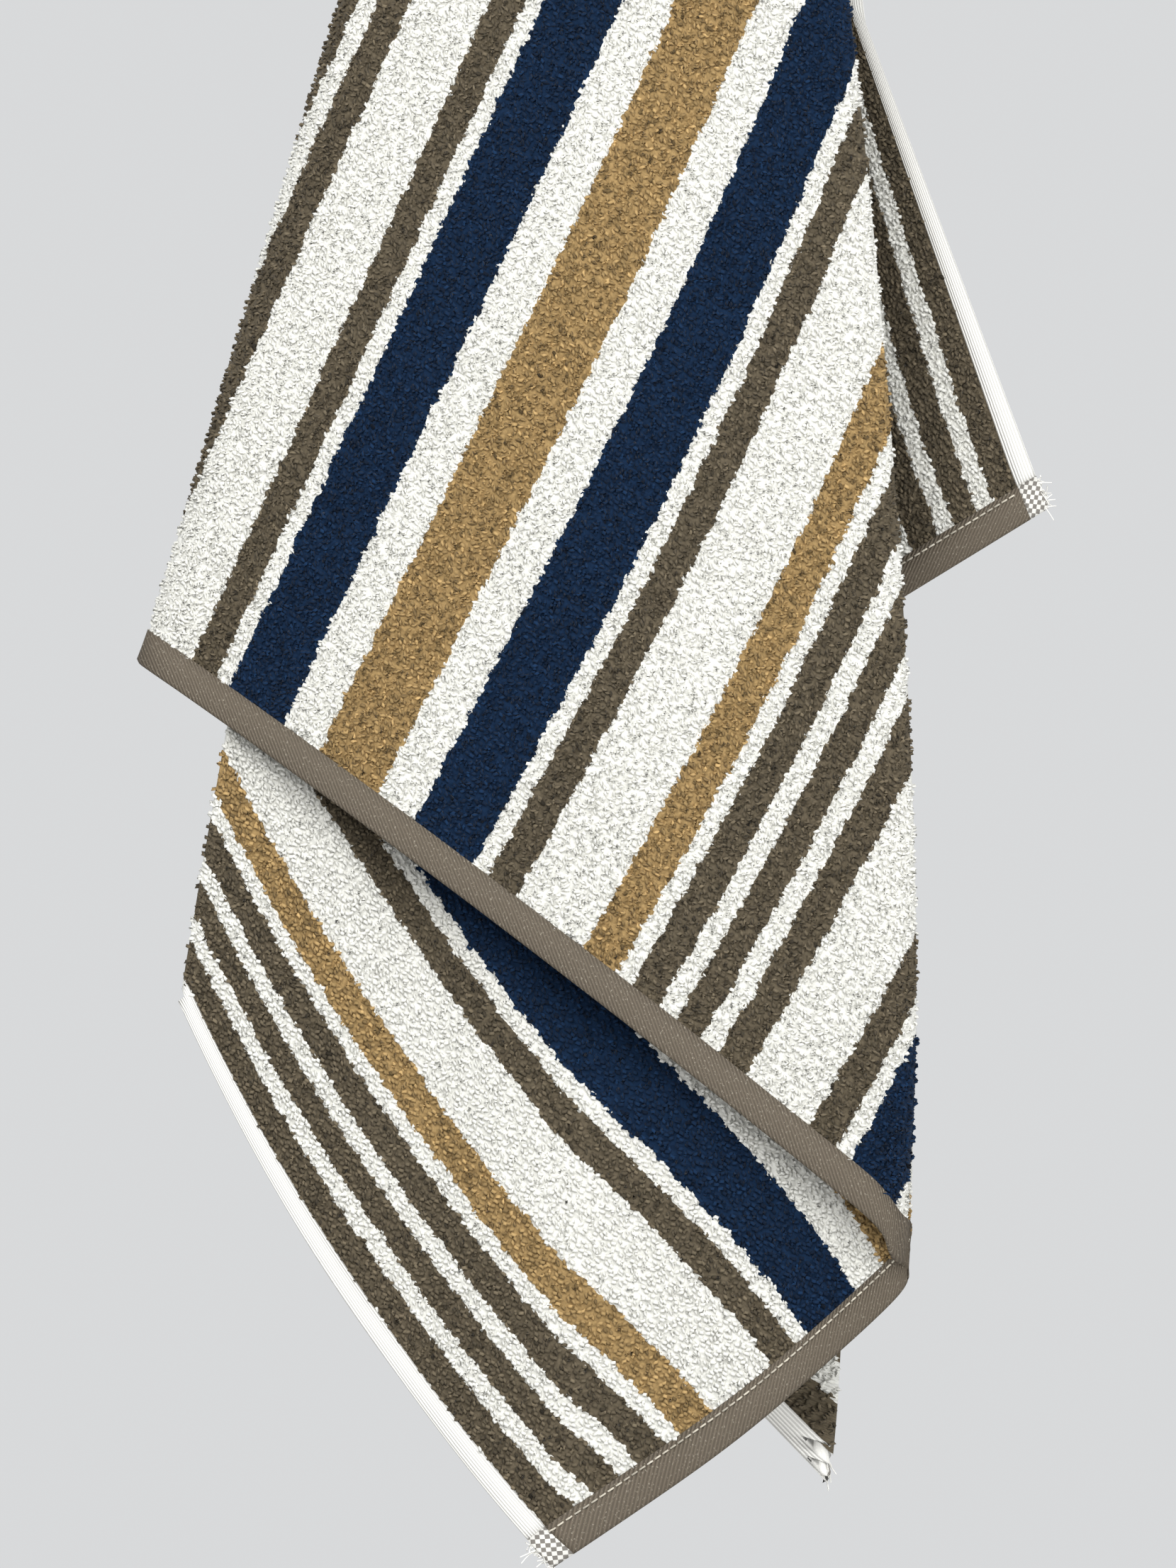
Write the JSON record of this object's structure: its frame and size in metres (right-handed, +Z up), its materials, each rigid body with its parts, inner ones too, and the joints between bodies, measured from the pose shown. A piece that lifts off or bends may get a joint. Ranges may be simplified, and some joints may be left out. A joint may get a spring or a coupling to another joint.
{
  "type": "bath towel",
  "caption": "Striped terry bath towel hanging in loose folds from one peg, with twill hems and woven selvedges.",
  "frame": {"origin": "top of the cloth where it rests over the peg, midway between the front and the wall side", "axes": "+Z up, +X to the right as seen from the front, +Y back towards the wall"},
  "size_m": [0.2956, 0.084, 0.8492],
  "materials": {
    "striped_terry": "cotton terry loops, white with navy, taupe and tan warp stripes",
    "taupe_twill": "taupe cotton twill",
    "white_selvedge": "flat woven white cotton"
  },
  "bodies": {
    "root": {"terry_crown": "striped_terry", "terry_body": "striped_terry", "front_hem": "taupe_twill", "rear_hem": "taupe_twill", "left_selvedge": "white_selvedge", "right_selvedge": "white_selvedge"}
  },
  "joints": []
}
